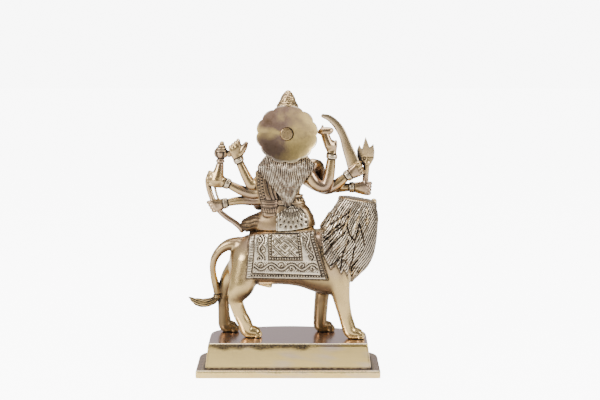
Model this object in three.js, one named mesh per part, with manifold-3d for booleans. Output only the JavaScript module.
// Brass figure of Durga with eight arms, riding her lion on a stepped plinth. Millimetres, +Z up.
// The origin is the middle of the plinth's underside. The lion walks along +X and Durga faces +Y.
import * as THREE from 'three';
import { mergeVertices } from 'three/addons/utils/BufferGeometryUtils.js';
import Module from 'manifold-3d';

// Driving dimensions
const PLATE_LENGTH = 130;
const PLATE_BACK = 33;
const PLATE_FRONT = 35;
const PLATE_HEIGHT = 5.5;
const BLOCK_LEDGE = 6.5;
const BLOCK_BACK_LEDGE = 4.5;
const BLOCK_TAPER = 2.2;
const BLOCK_HEIGHT = 18;
const CORNER_RADIUS = 14;
const CORNER_LIFT = 2;
const WORN_EDGE = 0.8;
const FIGURE_HEIGHT = 176.5;
const CLOTH_FIELD = 0.8;
const CLOTH_BORDER = 1.4;
const HALO_WIDTH = 43.8;
const HALO_HEIGHT = 40.8;
const HALO_WALL = 1.6;
const HALO_DISH = 3;
const PETALS = 12;
const NOTCH_DEPTH = 0.065;
const PIN_RADIUS = 4.4;
const PIN_PLAY = 0.6;
const PIN_OFFSET = 0.25;
const PIN_END = 0.8;
const FIT_GAP = 0.3;

// The figure is drawn DRAWN_HEIGHT tall with its paws at DRAWN_FLOOR, and set to size on the plinth.
const DRAWN_HEIGHT = 176.5;
const DRAWN_FLOOR = 23.5;
const SHARE = FIGURE_HEIGHT / DRAWN_HEIGHT;
const PLINTH_TOP = PLATE_HEIGHT + BLOCK_HEIGHT;
// Half the depth of a cutting plate, more than the figure's own
const THROUGH = 40;

const wasm = await Module();
wasm.setup();

function placed([x, y, z]) {
  return [x * SHARE, y * SHARE, PLINTH_TOP + (z - DRAWN_FLOOR) * SHARE];
}

// A closed geometry as a solid for joining and cutting
function solid(geometry) {
  geometry.deleteAttribute('normal');
  geometry.deleteAttribute('uv');
  const merged = mergeVertices(geometry, 1e-4);
  const vertProperties = new Float32Array(merged.attributes.position.array);
  const triVerts = new Uint32Array(merged.index.array);
  return new wasm.Manifold(new wasm.Mesh({ numProp: 3, vertProperties, triVerts }));
}

// The same for a geometry in the figure's drawing
function drawnSolid(geometry) {
  const position = geometry.attributes.position;
  for (let i = 0; i < position.count; i++) {
    const [x, y, z] = placed([position.getX(i), position.getY(i), position.getZ(i)]);
    position.setXYZ(i, x, y, z);
  }
  return solid(geometry);
}

function joined(solids) {
  return solids.reduce((whole, next) => whole.add(next));
}

// A closed skin over equal rings of points, drawn to a point at both ends and facing outwards
function skin(rings, start, end) {
  const sides = rings[0].length;
  const points = [...rings.flat(), start, end];
  const faces = [];
  for (let k = 0; k < sides; k++) {
    const next = (k + 1) % sides;
    const last = (rings.length - 1) * sides;
    faces.push([points.length - 2, next, k], [points.length - 1, last + k, last + next]);
    for (let i = 0; i + 1 < rings.length; i++) {
      const a = i * sides + k;
      const b = i * sides + next;
      faces.push([a, b, b + sides], [a, b + sides, a + sides]);
    }
  }
  const corner = (i) => new THREE.Vector3(...points[i]);
  const volume = (face) => corner(face[0]).dot(corner(face[1]).cross(corner(face[2])));
  if (faces.reduce((sum, face) => sum + volume(face), 0) < 0) {
    faces.forEach((face) => face.reverse());
  }
  const geometry = new THREE.BufferGeometry();
  geometry.setAttribute('position', new THREE.Float32BufferAttribute(points.flat(), 3));
  geometry.setIndex(faces.flat());
  return geometry;
}

// A round limb through stations [x, y, z, radius]. squash flattens it along an axis, and ends say how
// far each rounded end stands out, as shares of its radius. An upright limb keeps its rings level. A
// power of 2 gives round sections and a higher one squarer sections.
function limb(stations, options = {}) {
  const { squash = [1, 1, 1], sides = 6, ends = [0.45, 0.45], upright = false, power = 2 } = options;
  const path = stations.map(([x, y, z, r]) => [x / squash[0], y / squash[1], z / squash[2], r]);
  const centres = path.map(([x, y, z]) => new THREE.Vector3(x, y, z));
  const along = centres.map((_, i) => {
    const before = centres[Math.max(i - 1, 0)];
    const way = centres[Math.min(i + 1, centres.length - 1)].clone().sub(before).normalize();
    return upright ? new THREE.Vector3(0, 0, Math.sign(way.z)) : way;
  });
  const aside = new THREE.Vector3(0, 1, 0);
  if (Math.abs(along[0].y) > 0.8) {
    aside.set(1, 0, 0);
  }
  const ring = (i, shift, scale) => {
    const across = aside.clone().cross(along[i]).normalize();
    const centre = centres[i].clone().addScaledVector(along[i], shift * path[i][3]);
    return Array.from({ length: sides }, (_, k) => {
      const angle = (2 * Math.PI * (k + 0.5)) / sides;
      const corner = Math.abs(Math.cos(angle)) ** power + Math.abs(Math.sin(angle)) ** power;
      const radius = path[i][3] * scale * corner ** (-1 / power);
      return centre.clone()
        .addScaledVector(aside, radius * Math.cos(angle))
        .addScaledVector(across, radius * Math.sin(angle));
    });
  };
  const rings = [];
  for (let i = 0; i < centres.length; i++) {
    aside.addScaledVector(along[i], -aside.dot(along[i])).normalize();
    if (i === 0 && ends[0] > 0.5) {
      rings.push(ring(0, -0.6 * ends[0], 0.78));
    }
    rings.push(ring(i, 0, 1));
    if (i === centres.length - 1 && ends[1] > 0.5) {
      rings.push(ring(i, 0.6 * ends[1], 0.78));
    }
  }
  const last = centres.length - 1;
  const start = centres[0].clone().addScaledVector(along[0], -ends[0] * path[0][3]);
  const end = centres[last].clone().addScaledVector(along[last], ends[1] * path[last][3]);
  const flat = (point) => [point.x * squash[0], point.y * squash[1], point.z * squash[2]];
  return drawnSolid(skin(rings.map((points) => points.map(flat)), flat(start), flat(end)));
}

// An egg-shaped lump
function ball(centre, radii, around = 8, rows = 5) {
  const geometry = new THREE.SphereGeometry(1, around, rows);
  geometry.rotateX(Math.PI / 2);
  geometry.scale(...radii);
  geometry.translate(...centre);
  return drawnSolid(geometry);
}

// A turned piece on the line from base to tip, its profile in [radius, distance from the base]
function turned(profile, base, tip, sides = 12) {
  const geometry = new THREE.LatheGeometry(profile.map(([r, t]) => new THREE.Vector2(r, t)), sides);
  const direction = new THREE.Vector3(...tip).sub(new THREE.Vector3(...base)).normalize();
  const turn = new THREE.Quaternion().setFromUnitVectors(new THREE.Vector3(0, 1, 0), direction);
  geometry.applyQuaternion(turn);
  geometry.translate(...base);
  return drawnSolid(geometry);
}

// A flat plate with an outline in X and Z, between two places along Y
function plate(outline, near, far, holes = []) {
  const shape = new THREE.Shape(outline.map(([x, z]) => new THREE.Vector2(x, z)));
  for (const hole of holes) {
    shape.holes.push(new THREE.Path(hole.map(([x, z]) => new THREE.Vector2(x, z))));
  }
  const geometry = new THREE.ExtrudeGeometry(shape, { depth: far - near, bevelEnabled: false });
  geometry.rotateX(Math.PI / 2);
  geometry.translate(0, far, 0);
  return drawnSolid(geometry);
}

// Plinth

// The front's bow as a share of half the length, and how flat its middle is
const FRONT_BOW = 0.2;
const BOW_FLAT = 0.4;

// Plan of one step: a straight back, straight sides and a bowed front with round corners
function plan(halfLength, back, front) {
  const bow = FRONT_BOW * halfLength;
  const turn = front - bow + CORNER_LIFT;
  const shape = new THREE.Shape();
  shape.moveTo(-halfLength, -back);
  shape.lineTo(halfLength, -back);
  shape.lineTo(halfLength, front - bow - CORNER_RADIUS);
  shape.quadraticCurveTo(halfLength, front - bow, halfLength - CORNER_RADIUS, turn);
  shape.quadraticCurveTo(BOW_FLAT * halfLength, front, 0, front);
  shape.quadraticCurveTo(-BOW_FLAT * halfLength, front, -halfLength + CORNER_RADIUS, turn);
  shape.quadraticCurveTo(-halfLength, front - bow, -halfLength, front - bow - CORNER_RADIUS);
  return shape.getPoints(3);
}

// One step of the plinth, narrower at its top by taper, with its upper edge worn round
function step(halfLength, back, front, bottom, top, taper) {
  const inset = (size) => plan(halfLength - size, back - size, front - size);
  const ring = (size, z) => inset(size).map((point) => [point.x, point.y, z]);
  const rings = [
    ring(0, bottom),
    ring(taper, top - WORN_EDGE),
    ring(taper + 0.3 * WORN_EDGE, top - 0.3 * WORN_EDGE),
    ring(taper + WORN_EDGE, top),
  ];
  return solid(skin(rings, [0, 0, bottom], [0, 0, top]));
}

function makePlinth() {
  const half = PLATE_LENGTH / 2;
  const lower = step(half, PLATE_BACK, PLATE_FRONT, 0, PLATE_HEIGHT, 0);
  const blockHalf = half - BLOCK_LEDGE;
  const blockBack = PLATE_BACK - BLOCK_BACK_LEDGE;
  const blockFront = PLATE_FRONT - BLOCK_BACK_LEDGE;
  const sunk = PLATE_HEIGHT / 2;
  const upper = step(blockHalf, blockBack, blockFront, sunk, PLINTH_TOP, BLOCK_TAPER);
  return lower.add(upper);
}

// Lion

const BODY = [
  [-27, 0, 79.3, 16.6], [-18, 0, 80, 18.9], [-4, 0, 80.6, 19.6], [8, 0, 79.8, 20.4],
  [20, 0, 78, 22.6], [30, 0, 77, 23.2], [40, 0, 75, 15],
];
const BODY_SQUASH = [1, 0.7, 1];
const BODY_POWER = 2.7;
const SADDLE_POWER = 4.2;
// Each leg from the trunk down to its heel and toe
const LEGS = [
  [
    [-29, -4.8, 78, 10.8], [-32, -6.6, 67, 9.9], [-33.4, -8, 61, 9], [-36.4, -8.8, 55.6, 6.9],
    [-37.2, -8.6, 50, 5.2], [-34.4, -8, 41, 4.9], [-31.4, -7.5, 34.6, 5.1], [-29, -7.1, 28.6, 5.1],
    [-24, -7, 27.2, 4.4],
  ],
  [
    [-29, 4.8, 78, 10.8], [-38, 7, 66, 9.6], [-43.6, 9, 57.5, 6.9], [-46.8, 9.8, 48.5, 4.5],
    [-47, 10, 40, 4.1], [-46.6, 10.2, 33, 4.5], [-45.6, 10.3, 28.2, 4.9], [-41.2, 10.5, 27, 4.2],
  ],
  [
    [34, -4.5, 82, 11], [35.2, -7, 71, 9.4], [36.6, -9.2, 61, 7.3], [38.2, -10.2, 51, 5.8],
    [40.4, -10.6, 41, 4.9], [42.7, -10.8, 33, 4.9], [44.8, -11, 28.2, 4.9], [49.4, -11.2, 27, 4],
  ],
  [
    [32, 4.5, 80, 11], [29.5, 6.5, 68, 9], [26.2, 8, 60, 6.6], [24.4, 9, 51, 5.2],
    [23.6, 9.6, 42, 5], [23.1, 10.2, 33, 4.9], [23.7, 10.8, 28, 5], [28.6, 11.2, 27, 4],
  ],
];
const TOE_SPACING = 2.7;
const TOE_RADII = [2.6, 1.8, 2.7];
const MANE = [
  [48.9, 1, 126, 11.8], [48, 1, 118, 15], [46.2, 1, 110, 18.5], [43.2, 0.5, 101, 21],
  [42.8, 0, 92, 20.6], [44.2, -0.5, 82, 17.2], [46.9, -1, 74, 10.6], [45.8, -1, 68, 6],
  [44.4, -1, 63.5, 2.8],
];
const MANE_SQUASH = [1, 0.86, 1];
const LOCKS = 8;
const LOCK_LENGTH = 17;
const LOCK_SWEEP = 0.34;
const LOCK_RELIEF = 1.8;
const LEVELS_PER_LOCK = 3;
const HEAD_TOP = [49, 122.8];
const HEAD_TILT = 0.15;
const FACE_MIDDLE = 49;
const RUFF_HEIGHT = 106;
const RUFF_LOCKS = 8;
const RUFF_SPREAD = 1.56 * Math.PI;
// A lock of the ruff: distance from the ruff's middle, place along Y and thickness
const RUFF_LOCK = [[8.5, 11, 2.6], [12.5, 13, 3.1], [17, 9.5, 0.5]];
// The face, across and up from the ruff's middle
const SKULL = [[0, 6, 3, 12], [0, 12, 1, 9.5], [0, 18, -2.4, 7], [0, 22, -3.2, 5.6]];
const NOSE = [[0, 14, 6.5, 3.6], [0, 20, 3.6, 2.8], [0, 26, 0, 2.2]];
const JAW = [[0, 15, -8.5, 5.6], [0, 22.5, -9.2, 3.2]];
const EYE = [4.6, 17.6, 4.4];
const EYE_RADII = [2.2, 1.8, 1.8];
const BROW = [[2.4, 18.4, 6.6, 1.6], [7, 15.4, 8, 1.6]];
const CHEEK = [[3, 22.6, -3.6, 3.8], [5.4, 18.6, -4.4, 4]];
const EARS = [[[-10.8, 8, 11.5, 3.6], [-11.4, 9, 16.2, 2.4]], [[11.6, 8, 9.5, 3.6], [12.8, 9, 13.8, 2.4]]];
// What carries the ears inside the head
const EAR_ROOTS = [[[-4, 3, 2, 1.6], [-10.2, 5.6, 11, 1.4]], [[4, 3, 2, 1.6], [11, 5.6, 9, 1.4]]];
const TAIL = [
  [-36, 0, 90, 5.2], [-42, 0, 89.6, 4.2], [-47.6, 0.5, 86.4, 3.4], [-52.2, 1.2, 80.6, 2.8],
  [-54.1, 2, 74, 2.4], [-53.9, 3.2, 67, 2.3], [-52.8, 4.4, 61, 2.6], [-51.8, 5, 55.5, 2.5],
  [-51.5, 5, 50.4, 2.1],
];
const TUFT = [
  [-51.6, 5, 50.4, 2.2], [-54.8, 5, 47.4, 3], [-60.3, 4.2, 46, 3.4], [-65.6, 3.2, 46.9, 2.9],
  [-69.4, 2.4, 49.1, 1.5], [-72.2, 2, 51.1, 0.6],
];
const SADDLE = [[-34, 0, 79.2, 15.9], [-19, 0, 79.8, 19.4], [4, 0, 79.6, 21.6], [31, 0, 78.6, 23.8]];
const SADDLE_SQUASH = [1, 0.74, 1];
const CLOTH = [[-27.4, 108], [-28.4, 87], [-30.1, 67.4], [27.9, 67.1], [18.8, 98], [18, 108]];
const CLOTH_INNER = [[-23, 108], [-23.6, 87], [-25.1, 72], [22.9, 70.9], [15.4, 97], [14.6, 108]];
const PANEL = [[-14, 81], [10.5, 81], [8.4, 108], [-14, 108]];
const PANEL_INNER = [[-11.2, 83.8], [7.6, 83.8], [5.8, 108.5], [-11.2, 108.5]];
const LOZENGE = { middle: [-2, 90.5], half: [6.4, 5.2], bar: 1.1 };
// Where the panel ends under the skirt
const PANEL_END = -2;

// The form of the saddle cloth, swollen by extra millimetres
function saddle(extra) {
  const swollen = SADDLE.map(([x, y, z, r]) => [x, y, z, r + extra / SHARE]);
  return limb(swollen, { squash: SADDLE_SQUASH, power: SADDLE_POWER, sides: 10 });
}

function outlineOf({ middle: [x, z], half: [width, height] }, share) {
  return [[x, z - height * share], [x + width * share, z], [x, z + height * share], [x - width * share, z]];
}

// The cloth over the lion's back: a low field, raised borders, a panel frame and a lozenge
function makeCloth() {
  const whole = plate(CLOTH, -THROUGH, THROUGH);
  const border = whole.subtract(plate(CLOTH_INNER, -THROUGH, THROUGH));
  const frame = plate(PANEL, -THROUGH, PANEL_END).subtract(plate(PANEL_INNER, -THROUGH, 0));
  const inside = 1 - LOZENGE.bar / LOZENGE.half[1];
  const lozenge = plate(outlineOf(LOZENGE, 1), -THROUGH, PANEL_END, [outlineOf(LOZENGE, inside)]);
  const raised = joined([border, frame, lozenge]).intersect(saddle(CLOTH_BORDER));
  return saddle(CLOTH_FIELD).intersect(whole).add(raised);
}

// The mane's middle and half width at a height
function maneAt(height) {
  const above = MANE.findIndex(([, , z]) => z <= height);
  const [low, high] = [MANE[above], MANE[above - 1] ?? MANE[above]];
  const t = high === low ? 0 : (height - low[2]) / (high[2] - low[2]);
  return low.map((value, k) => value + (high[k] - value) * t);
}

// How far a lock of the mane stands out, from 0 at its edges to 1 along its ridge. The locks are
// pointed leaves in staggered rows that sweep down towards the tail.
function lockRelief(angle, height) {
  const down = (MANE[0][2] - height) / LOCK_LENGTH;
  const sweep = LOCK_SWEEP * down * Math.sign(Math.sin(angle) || 1);
  const row = Math.floor(down);
  const around = ((angle + sweep) * LOCKS) / (2 * Math.PI) + 0.5 * (row % 2);
  const across = Math.abs(around - Math.floor(around) - 0.5) * 2;
  const width = 1 - (down - row) ** 2;
  return Math.max(0, 1 - across / Math.max(width, 0.1));
}

function makeMane() {
  const around = 4 * LOCKS;
  const top = MANE[0][2];
  const bottom = MANE[MANE.length - 1][2];
  const levels = Math.round((LEVELS_PER_LOCK * (top - bottom)) / LOCK_LENGTH);
  const rings = Array.from({ length: levels + 1 }, (_, i) => {
    const height = top + ((bottom - top) * i) / levels;
    const [x, y, , r] = maneAt(height);
    return Array.from({ length: around }, (__, k) => {
      const angle = (2 * Math.PI * k) / around;
      const reach = r + LOCK_RELIEF * (lockRelief(angle, height) - 0.5);
      return placed([x + reach * Math.cos(angle), y + reach * MANE_SQUASH[1] * Math.sin(angle), height]);
    });
  });
  const [first, last] = [MANE[0], MANE[MANE.length - 1]];
  const tip = [last[0], last[1], last[2] - 0.8 * last[3]];
  const mane = solid(skin(rings, placed(first), placed(tip)));
  const crest = new THREE.BoxGeometry(2 * THROUGH, 2 * THROUGH, THROUGH);
  crest.rotateY(HEAD_TILT);
  crest.translate(HEAD_TOP[0], 0, HEAD_TOP[1] + THROUGH / (2 * Math.cos(HEAD_TILT)));
  return mane.subtract(drawnSolid(crest));
}

// Stations on the lion's face, set out from the middle of its ruff
function onFace(stations, side = 1) {
  return stations.map(([across, y, up, r]) => [FACE_MIDDLE + side * across, y, RUFF_HEIGHT + up, r]);
}

// The lion's face looks along +Y, with a ruff of locks around it
function makeLionHead() {
  const ruff = Array.from({ length: RUFF_LOCKS }, (_, k) => {
    const angle = Math.PI / 2 + RUFF_SPREAD * (k / (RUFF_LOCKS - 1) - 0.5);
    const [across, up] = [Math.cos(angle), 0.95 * Math.sin(angle)];
    const lock = RUFF_LOCK.map(([radius, y, thick]) => [radius * across, y, radius * up, thick]);
    return limb(onFace(lock), { sides: 4 });
  });
  const halves = [-1, 1].flatMap((side) => [
    ball(onFace([EYE], side)[0].slice(0, 3), EYE_RADII, 6, 3),
    limb(onFace(BROW, side)),
    limb(onFace(CHEEK, side)),
  ]);
  return [
    limb(onFace(SKULL), { sides: 10, ends: [0.45, 0.9] }),
    limb(onFace(NOSE)),
    limb(onFace(JAW)),
    ...halves,
    ...[...EARS, ...EAR_ROOTS].map((ear) => limb(onFace(ear))),
    ...ruff,
  ];
}

// Three toes at the front of a paw, the middle one furthest forward
function makeToes(leg) {
  const [x, y] = leg[leg.length - 1];
  return [-1, 0, 1].map((side) => {
    const forward = TOE_SPACING - 0.9 * Math.abs(side);
    return ball([x + forward, y + TOE_SPACING * side, DRAWN_FLOOR + 2.4], TOE_RADII, 4, 3);
  });
}

// A ring between the tail and its tuft, with a groove around it
const TAIL_RING = [[0, 0], [2.9, 0.2], [2.9, 1.1], [2.4, 1.4], [2.9, 1.7], [2.9, 2.7], [0, 2.9]];
const TAIL_RING_ENDS = [[-51.6, 5, 52.4], [-51.7, 5, 49]];
const BELLY_END = [[-20, -3, 62.5, 2.3], [-14.4, -3, 60.4, 1.6], [-12.8, -3, 60, 1.4]];

function makeLion() {
  const whole = joined([
    limb(BODY, { squash: BODY_SQUASH, power: BODY_POWER, sides: 12, ends: [0.9, 0.4] }),
    makeCloth(),
    ...LEGS.map((leg) => limb(leg, { sides: 7, ends: [0.45, 0.8] })),
    ...LEGS.flatMap(makeToes),
    makeMane(),
    ...makeLionHead(),
    limb(TAIL),
    turned(TAIL_RING, ...TAIL_RING_ENDS, 7),
    limb(TUFT),
    limb(BELLY_END),
  ]);
  const floor = new THREE.BoxGeometry(3 * PLATE_LENGTH, 3 * PLATE_LENGTH, PLINTH_TOP);
  floor.translate(0, 0, PLINTH_TOP / 2);
  return whole.subtract(solid(floor));
}

// Durga

const TORSO = [
  [-1.6, 1.5, 99, 21], [-1.5, 1.5, 106, 20.8], [-1.5, 1, 114.7, 17.2],
  [-1.5, 1, 119, 13.8], [-1.5, 1, 124.5, 10.2], [-2, 1, 130, 11], [-2.2, 1, 137, 14.6],
  [-2.2, 0.6, 144, 17.6], [-1.8, 0.4, 149, 14], [-1, 0.8, 152.5, 7],
];
const TORSO_SQUASH = [1, 0.54, 1];
const TORSO_ENDS = [0.1, 0.6];
const NECK = [[-0.9, 1, 151, 5.6], [-0.8, 1.8, 156, 4.6], [-0.8, 2.6, 160, 4.8]];
const HEAD = { centre: [-0.8, 3.2, 167], radii: [8.1, 8.6, 10.4] };
const HAIR = [
  [-0.9, -1.6, 157, 12], [-1.2, -3, 151, 17.6], [-1.5, -5, 145.2, 20.6], [-1.2, -6.4, 138, 15.6],
  [-0.6, -7, 130.6, 9.6], [0, -7.2, 124, 4.9], [0.2, -7.2, 119.2, 2.5],
];
const HAIR_SQUASH = [1, 0.3, 1];
const SASH = [
  [-18.6, -3, 142, 4.6], [-17.4, -4.4, 136, 5.6], [-14.6, -5.4, 128, 7.4], [-13.4, -6.2, 120, 6.2],
  [-13.2, -7, 112.6, 5.3],
];
const SASH_SQUASH = [1, 0.42, 1];
const FOLDED_LEG = [
  [-12, 2.6, 107, 8.4], [-21, 3.6, 105.4, 6.8], [-28.8, 5.2, 103.1, 5.5], [-26.6, 10.8, 102.6, 4.6],
  [-17, 14.2, 103.4, 4.2], [-8, 16.4, 103.6, 3.4], [-3, 18, 103.4, 2.7],
];
const HANGING_LEG = [
  [6, 5, 108, 8], [10.5, 12, 107, 7.3], [13, 18.6, 103.4, 6.2], [13.4, 20.6, 95, 5],
  [12.6, 21.4, 84, 4.3], [12, 21, 75, 3.3], [12, 21, 70.4, 3.2],
];
const HANGING_FOOT = [[12, 20.4, 69.4, 2.9], [12.3, 24, 67.6, 2.5], [12.6, 27.6, 66.6, 1.9]];
const SKIRT = [
  [-8, 112.4], [-8.4, 100], [14.4, 100], [14.2, 111.2], [9.2, 117], [2, 118.4], [-4.4, 114.8],
];
const BELT = { middle: -1.5, bottom: 120.4, height: 4 };
const SKIRT_RELIEF = 1;

// Each arm from shoulder to wrist, its hand's middle and size, and the way that the fingers grip
const ARMS = {
  conch: {
    path: [
      [14, 0.5, 140.6, 5.2], [19.4, 0, 133.6, 4.6], [26, 0, 131.6, 4.4], [29, 0, 139.4, 4],
      [30.9, 0, 153, 3],
    ],
    hand: [30.8, 0, 159.4], size: 4.2, grip: [-0.7, 0, 0.7],
  },
  sword: {
    path: [[13, 2.4, 138.6, 5], [21, 3, 131.6, 4.3], [30, 3.4, 129.9, 4.2], [42.4, 4, 138.7, 3]],
    hand: [47.9, 4, 142.2], size: 5.2, grip: [-0.35, 0, 0.94],
  },
  trident: {
    path: [[12, 4.6, 137, 4.8], [21, 5.8, 131, 4.1], [31, 6.6, 129.6, 3.7], [45.2, 7, 130, 2.8]],
    hand: [53.5, 7, 129.5], size: 5.2, grip: [0.1, 0, 0.99],
  },
  blessing: {
    path: [
      [17.5, 5, 146, 4.8], [21.4, 8, 144.6, 4.4], [22, 11.4, 137.4, 4], [20.6, 15.4, 130.6, 3.8],
      [17.6, 19.6, 133.6, 3.2], [15.6, 21.4, 138.4, 2.6],
    ],
    hand: [14.9, 21.8, 142], size: 3.6, open: true,
  },
  bell: {
    path: [[-15.5, 0.5, 139, 4.8], [-24.8, 0, 132.6, 4], [-28.9, 0, 137.2, 3.6], [-35, 0, 150.2, 2.7]],
    hand: [-36, 0, 157.2], size: 4.8, grip: [0.76, 0, 0.65],
  },
  mace: {
    path: [[-13, 1.4, 133, 5], [-22.4, 2, 126.2, 4], [-32, 2.5, 127.8, 3.7], [-43.2, 3, 133, 2.8]],
    hand: [-51, 3, 135.6], size: 5.6, grip: [0.06, 0, 1],
  },
  bow: {
    path: [[-12, 3, 126, 4.6], [-21, 4, 120.8, 3.7], [-34, 4.8, 120.7, 3.2], [-44.8, 5, 118.8, 2.6]],
    hand: [-50.8, 5, 117.4], size: 5, grip: [-0.5, 0, 0.86],
  },
  lotus: {
    path: [
      [-16.5, 5, 143, 5], [-20.6, 8.6, 133, 4.3], [-21.6, 10, 124, 3.9], [-21.4, 11, 116.6, 3.9],
      [-16.8, 16.4, 117.8, 3.3], [-12.6, 20, 120, 2.6],
    ],
    hand: [-10, 22.4, 121.4], size: 3.7, grip: [0, 0, 1],
  },
};
const SWORD = [
  [47.4, 4, 144, 4.9], [45.4, 4, 150.6, 4.3], [42.8, 4, 158.4, 3.3], [40.2, 4, 166, 2.5],
  [37.4, 4, 171.6, 2.3], [33.8, 4, 176.6, 2], [29.6, 4, 180.2, 1.5], [24.6, 4, 182, 0.6],
];
const SWORD_SQUASH = [1, 0.3, 1];
const TRIDENT_HEAD = [
  [54.2, 145], [51, 148], [49.1, 152.8], [49, 156.6], [50.6, 160.8], [52.6, 157.4], [55.1, 166.4],
  [58.1, 158.6], [60.8, 161.2], [61.6, 155.6], [61.2, 150.6], [58.6, 145.8],
];
const MACE_PROFILE = [
  [0, 0], [2.1, 0], [2.1, 10.6], [3, 11.2], [2.5, 12.8], [3.2, 14.4], [4.9, 16.2], [5.2, 18.6],
  [4.3, 20.4], [2.9, 23], [1.1, 25.6], [0, 26.1],
];
const BOW = [
  [-56.8, 5, 139.4, 1.2], [-57.5, 5, 134.2, 1.8], [-55.6, 5, 125, 1.8], [-51, 5, 115.4, 1.8],
  [-45.3, 5, 109.4, 1.8], [-39.2, 5, 105.2, 1.8], [-34.8, 5, 101.6, 1.9],
  [-33.4, 5, 98.6, 1.5],
];
const BOW_STRING = [[-52.6, 4.6, 132, 0.9], [-51.4, 4.6, 126, 0.9], [-49, 4.6, 119, 0.9]];
const CONCH = [[22.4, 0, 170.3, 1.7], [25, 0, 170.8, 2.9], [28.6, 0, 171, 2.8], [30.6, 0, 171.6, 1.7]];
const CROWN_PROFILE = [
  [0, 0], [9.9, 1.2], [9.6, 3.8], [8.7, 4.6], [9, 9.8], [8.3, 10.8], [7.7, 15.4], [6.1, 17.9],
  [4.8, 20.2], [3.8, 21.6], [2, 24.2], [0, 26.2],
];
const CROWN_BASE = [-0.8, 3.2, 173.8];
const CROWN_TIP = [0.1, 3.2, 200];
const BRACELET = { half: 1.5, thick: 0.8 };
const HALO_MIDDLE = [-0.7, -8.2, 169.7];

function unit(vector) {
  return new THREE.Vector3(...vector).normalize();
}

// A closed fist, or an open palm, at the end of an arm
function makeHand({ path, hand, size, grip, open = false }) {
  const wrist = path[path.length - 1];
  const reach = new THREE.Vector3(...hand).sub(new THREE.Vector3(wrist[0], wrist[1], wrist[2]));
  const back = reach.length() / size;
  const thin = wrist[3] / size;
  reach.normalize();
  const upright = open ? new THREE.Vector3(1, 0.2, 0) : unit(grip);
  const stack = upright.addScaledVector(reach, -upright.dot(reach)).normalize();
  const face = reach.clone().cross(stack);
  const at = (forward, aside, up) => new THREE.Vector3(...hand)
    .addScaledVector(reach, forward * size)
    .addScaledVector(face, aside * size)
    .addScaledVector(stack, up * size)
    .toArray();
  // Rings of a block hand: how far forward, half the hand's breadth and half its thickness
  const blocks = open
    ? [[-back, 0.7 * thin, 0.7 * thin], [0.1, 0.8, 0.42], [1.1, 0.78, 0.3], [2, 0.4, 0.2]]
    : [[-back, 0.7 * thin, 0.7 * thin], [-0.1, 0.82, 0.8], [0.7, 0.84, 0.72], [1.05, 0.6, 0.4]];
  const rings = blocks.map(([forward, breadth, thick]) => Array.from({ length: 6 }, (_, k) => {
    const angle = (Math.PI * (k + 0.5)) / 3;
    return placed(at(forward, 1.15 * thick * Math.cos(angle), 1.15 * breadth * Math.sin(angle)));
  }));
  return solid(skin(rings, placed(at(-back - 0.3, 0, 0)), placed(at(blocks[3][0] + 0.1, 0, 0))));
}

// A ring around the last part of an arm
function makeBracelet({ path }) {
  const [before, wrist] = path.slice(-2);
  const { half, thick } = BRACELET;
  const radius = wrist[3] + thick;
  const band = [[0, -half - 0.1], [radius, -half], [radius, half], [0, half + 0.1]];
  const place = wrist.slice(0, 3);
  const onward = place.map((value, k) => 2 * value - before[k]);
  return turned(band, place, onward, 6);
}

function makeArm(arm) {
  return [limb(arm.path), makeBracelet(arm), makeHand(arm)];
}

const TRIDENT_FACES = [5.9, 8.1];
const TRIDENT_SHAFT = [[55.2, 7, 128, 1.6], [55.5, 7, 134, 1.9], [56.1, 7, 147.4, 1.8]];
const MACE_ENDS = [[-49.3, 2.4, 137.8], [-46.7, 2, 163.7]];
const BELL_NECK = [[-41.9, 1.6, 154.6, 2.4], [-38, 0.8, 155.4, 1.9]];
const CONCH_FINGER = [[28.4, 0, 162.4, 2.6], [26, 0, 167.2, 2.3], [25.2, 0, 170, 2.2]];
const CONCH_KNOB = [[24.4, 0, 172.6, 1.4], [24.3, 0, 174.6, 0.8]];
const LOTUS_STEM = [[-10, 22.6, 117, 1.1], [-9.9, 22.8, 126, 1.2]];
const LOTUS_BUD = [-9.9, 22.8, 128.6];
const LOTUS_RADII = [3.2, 3.2, 3.6];

function makeWeapons() {
  return [
    limb(SWORD, { squash: SWORD_SQUASH }),
    plate(TRIDENT_HEAD, ...TRIDENT_FACES),
    limb(TRIDENT_SHAFT),
    turned(MACE_PROFILE, ...MACE_ENDS, 7),
    limb(BELL_NECK),
    limb(BOW, { sides: 4 }),
    limb(BOW_STRING, { sides: 3 }),
    limb(CONCH_FINGER),
    limb(CONCH),
    limb(CONCH_KNOB),
    limb(LOTUS_STEM),
    ball(LOTUS_BUD, LOTUS_RADII, 6, 4),
  ];
}

function makeHead() {
  const { centre: [x, y, z], radii } = HEAD;
  const ear = (side) => ball([x + side * 8.2, y + 0.4, z - 1.6], [1.4, 2, 3.2], 6, 3);
  const earring = (side) => ball([x + side * 8.6, y + 0.6, z - 6], [1.7, 1.7, 1.9], 5, 3);
  return [
    limb(NECK, { sides: 7 }),
    ball([x, y, z], radii, 9, 6),
    limb([[x, y + 8.2, z + 1, 0.9], [x, y + 9.2, z - 2.4, 1.4]]),
    ball([x, y + 7, z - 7.4], [2.4, 2, 2], 6, 3),
    ...[-1, 1].flatMap((side) => [ear(side), earring(side)]),
    turned(CROWN_PROFILE, CROWN_BASE, CROWN_TIP, 8),
  ];
}

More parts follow.
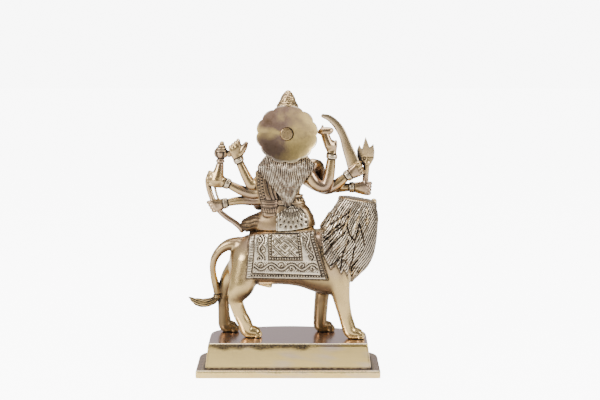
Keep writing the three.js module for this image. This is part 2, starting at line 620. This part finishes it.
// The skirt's fan, the sash down the back and the belt
function makeDress() {
  const near = plate(SKIRT, -THROUGH, 0);
  const swollen = TORSO.map(([x, y, z, r]) => [x, y, z, r + SKIRT_RELIEF / TORSO_SQUASH[1]]);
  const trunk = limb(swollen, { squash: TORSO_SQUASH, sides: 10, ends: TORSO_ENDS, upright: true });
  const { middle, bottom, height } = BELT;
  const slab = [[0, 0], [THROUGH, 0], [THROUGH, height], [0, height]];
  return [
    trunk.intersect(near),
    trunk.intersect(turned(slab, [middle, 0, bottom], [middle, 0, bottom + height], 4)),
    limb(SASH, { squash: SASH_SQUASH, ends: [0.8, 0.1], upright: true }),
  ];
}

// Middle of the halo's near face, around its pin
const [HALO_X, HALO_FACE, HALO_Z] = placed(HALO_MIDDLE);
const HALO_REAR = HALO_FACE + HALO_WALL;

// A straight round bar along Y
function bar(radius, near, far, x = HALO_X - PIN_OFFSET) {
  const geometry = new THREE.CylinderGeometry(radius, radius, far - near, 12);
  geometry.translate(x, (near + far) / 2, HALO_Z);
  return solid(geometry);
}

function makeDurga() {
  const figure = joined([
    limb(TORSO, { squash: TORSO_SQUASH, sides: 10, ends: TORSO_ENDS, upright: true }),
    ...makeDress(),
    limb(HAIR, { squash: HAIR_SQUASH, sides: 10, ends: [0.2, 0.4], upright: true }),
    limb(FOLDED_LEG, { sides: 7 }),
    limb(HANGING_LEG, { sides: 7 }),
    limb(HANGING_FOOT),
    ...makeHead(),
    ...Object.values(ARMS).flatMap(makeArm),
    ...makeWeapons(),
  ]);
  const headMiddle = placed(HEAD.centre)[1];
  const boss = bar(1.6 * PIN_RADIUS, HALO_REAR + FIT_GAP, headMiddle);
  const pin = bar(PIN_RADIUS, HALO_FACE - PIN_END, headMiddle);
  return joined([figure, boss, pin]).subtract(saddle(CLOTH_BORDER + FIT_GAP));
}

// Halo: a dished disc with a petalled rim and a hole for the pin

function makeHalo() {
  const perPetal = 3;
  const around = PETALS * perPetal;
  const notch = (27 * Math.PI) / 180;
  const shares = [0.74, 1];
  const petal = (angle) => Math.abs(Math.sin((PETALS / 2) * (angle - notch))) ** 0.7;
  const rim = (angle) => 1 - NOTCH_DEPTH * (1 - petal(angle));
  const ring = (share, lift) => Array.from({ length: around }, (_, k) => {
    const angle = notch + (2 * Math.PI * k) / around;
    const radius = share * (1 + share ** 4 * (rim(angle) - 1));
    const x = HALO_X + 0.5 * HALO_WIDTH * radius * Math.cos(angle);
    const z = HALO_Z + 0.5 * HALO_HEIGHT * radius * Math.sin(angle);
    return [x, HALO_FACE - HALO_DISH * share ** 3 + lift, z];
  });
  const face = shares.map((share) => ring(share, 0));
  const rear = shares.map((share) => ring(share, HALO_WALL)).reverse();
  const disc = solid(skin([...face, ...rear], [HALO_X, HALO_FACE, HALO_Z], [HALO_X, HALO_REAR, HALO_Z]));
  const hole = bar(PIN_RADIUS + PIN_PLAY, HALO_FACE - HALO_DISH, HALO_REAR + HALO_DISH, HALO_X);
  return disc.subtract(hole);
}

// The whole piece

function mesh(name, body, material) {
  const { numProp, vertProperties, triVerts } = body.getMesh();
  const geometry = new THREE.BufferGeometry();
  const corners = [];
  for (let i = 0; i < vertProperties.length; i += numProp) {
    corners.push(vertProperties[i], vertProperties[i + 1], vertProperties[i + 2]);
  }
  geometry.setAttribute('position', new THREE.Float32BufferAttribute(corners, 3));
  geometry.setIndex([...triVerts]);
  geometry.computeVertexNormals();
  const made = new THREE.Mesh(geometry, material);
  made.name = name;
  return made;
}

function brass(colour, roughness) {
  return new THREE.MeshStandardMaterial({ color: colour, roughness, metalness: 1 });
}

const model = new THREE.Group();
model.add(mesh('plinth', makePlinth(), brass(0xb49a72, 0.3)));
model.add(mesh('lion', makeLion(), brass(0xb59b6c, 0.32)));
model.add(mesh('durga', makeDurga(), brass(0xab9470, 0.36)));
model.add(mesh('halo', makeHalo(), brass(0xa08a66, 0.34)));

export default model;
